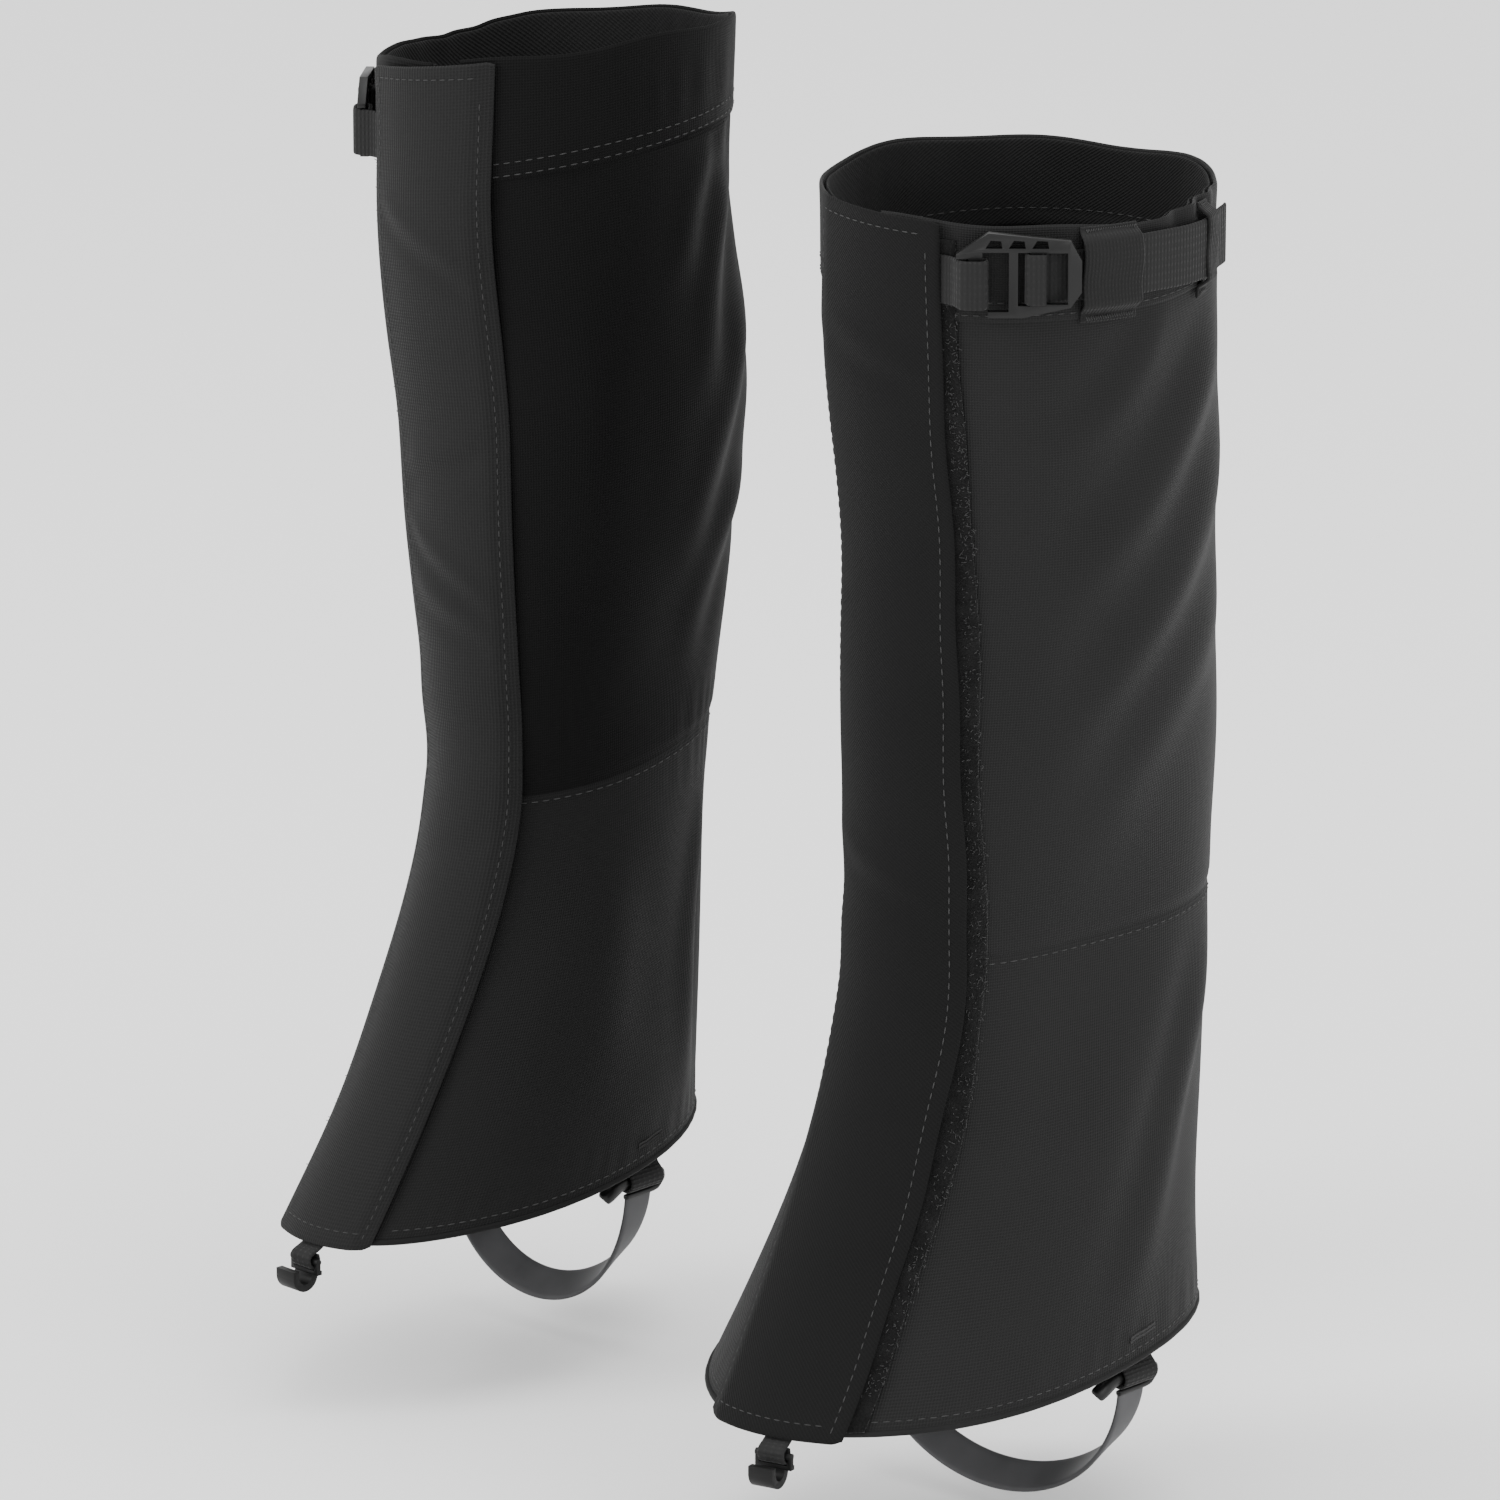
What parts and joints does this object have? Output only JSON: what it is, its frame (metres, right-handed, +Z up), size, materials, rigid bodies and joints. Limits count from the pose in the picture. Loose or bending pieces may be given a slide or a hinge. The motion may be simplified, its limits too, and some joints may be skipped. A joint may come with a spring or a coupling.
{
  "type": "gaiters",
  "caption": "Tall cloth leg gaiters with a hook-and-loop front flap, belted collar with buckle, lace hook and instep strap.",
  "frame": {"origin": "midway between the two legs, at the height of the flaps' lower edge, where the pair is worn", "axes": "+Z up the leg, -Y to the toes, +X to the wearer's left"},
  "size_m": [0.3818, 0.2412, 0.4609],
  "materials": {
    "shell_cloth": "matte woven nylon",
    "lining_cloth": "matte woven lining",
    "loop_tape": "brushed loop tape",
    "hook_tape": "hook tape",
    "flap_cloth": "heavy plain weave",
    "webbing": "ribbed webbing",
    "buckle_plastic": "moulded, matte",
    "hook_plastic": "moulded, matte",
    "hook_metal": "matte black coating",
    "strap_rubber": "smooth, slightly translucent"
  },
  "bodies": {
    "right_gaiter": {"right_upper_shell": "shell_cloth", "right_lower_shell": "shell_cloth", "right_collar": "shell_cloth", "right_collar_facing": "lining_cloth", "right_hem_facing": "lining_cloth", "right_calf_seam": "lining_cloth", "right_loop_tape": "loop_tape", "right_flap_head": "flap_cloth", "right_buckle": "buckle_plastic", "right_flap_tab": "webbing", "right_buckle_web": "webbing", "right_keeper": "webbing", "right_belt_loop": "webbing", "right_lace_tab": "webbing"},
    "right_flap": {"right_hook_tape": "hook_tape", "right_flap": "flap_cloth"},
    "right_belt": {"right_belt_tail": "webbing"},
    "right_lace_hook": {"right_lace_hook": "hook_metal"},
    "right_instep_strap": {"right_outer_strap_tab": "webbing", "right_inner_strap_tab": "webbing", "right_outer_strap_hook": "hook_plastic", "right_inner_strap_hook": "hook_plastic", "right_instep_strap": "strap_rubber"},
    "left_gaiter": {"left_upper_shell": "shell_cloth", "left_lower_shell": "shell_cloth", "left_collar": "shell_cloth", "left_collar_facing": "lining_cloth", "left_hem_facing": "lining_cloth", "left_calf_seam": "lining_cloth", "left_loop_tape": "loop_tape", "left_flap_head": "flap_cloth", "left_buckle": "buckle_plastic", "left_flap_tab": "webbing", "left_buckle_web": "webbing", "left_keeper": "webbing", "left_belt_loop": "webbing", "left_lace_tab": "webbing"},
    "left_flap": {"left_hook_tape": "hook_tape", "left_flap": "flap_cloth"},
    "left_belt": {"left_belt_tail": "webbing"},
    "left_lace_hook": {"left_lace_hook": "hook_metal"},
    "left_instep_strap": {"left_outer_strap_tab": "webbing", "left_inner_strap_tab": "webbing", "left_outer_strap_hook": "hook_plastic", "left_inner_strap_hook": "hook_plastic", "left_instep_strap": "strap_rubber"}
  },
  "joints": [
    {"name": "right_flap_peel", "type": "hinge", "parent": "right_gaiter", "child": "right_flap", "pos_m": [-0.0988, -0.0229, 0.16], "axis": [0.0068, -0.0323, 0.9995], "range_deg": [0, 50]},
    {"name": "right_belt_slide", "type": "hinge", "parent": "right_gaiter", "child": "right_belt", "pos_m": [-0.1237, 0.0286, 0.376], "axis": [0, 0, 1], "range_deg": [-6, 6]},
    {"name": "right_lace_hook_swing", "type": "hinge", "parent": "right_gaiter", "child": "right_lace_hook", "pos_m": [-0.1211, -0.0996, -0.005], "axis": [0.9982, -0.0592, 0], "range_deg": [-30, 30]},
    {"name": "right_instep_swing", "type": "hinge", "parent": "right_gaiter", "child": "right_instep_strap", "pos_m": [-0.119, 0.0186, 0.0194], "axis": [1, 0, 0], "range_deg": [-20, 20]},
    {"name": "left_flap_peel", "type": "hinge", "parent": "left_gaiter", "child": "left_flap", "pos_m": [0.0938, -0.0702, 0.16], "axis": [0.0213, -0.0181, -0.9996], "range_deg": [0, 50]},
    {"name": "left_belt_slide", "type": "hinge", "parent": "left_gaiter", "child": "left_belt", "pos_m": [0.1238, -0.0108, 0.386], "axis": [0, 0, -1], "range_deg": [-6, 6]},
    {"name": "left_lace_hook_swing", "type": "hinge", "parent": "left_gaiter", "child": "left_lace_hook", "pos_m": [0.1314, -0.1351, -0.005], "axis": [0.9729, 0.2311, 0], "range_deg": [-30, 30]},
    {"name": "left_instep_swing", "type": "hinge", "parent": "left_gaiter", "child": "left_instep_strap", "pos_m": [0.119, -0.0086, 0.0151], "axis": [1, 0, 0], "range_deg": [-20, 20]},
    {"name": "left_gaiter_slide", "type": "slide", "parent": "right_gaiter", "child": "left_gaiter", "axis": [1, 0, 0], "range_m": [-0.04, 0.08]}
  ]
}
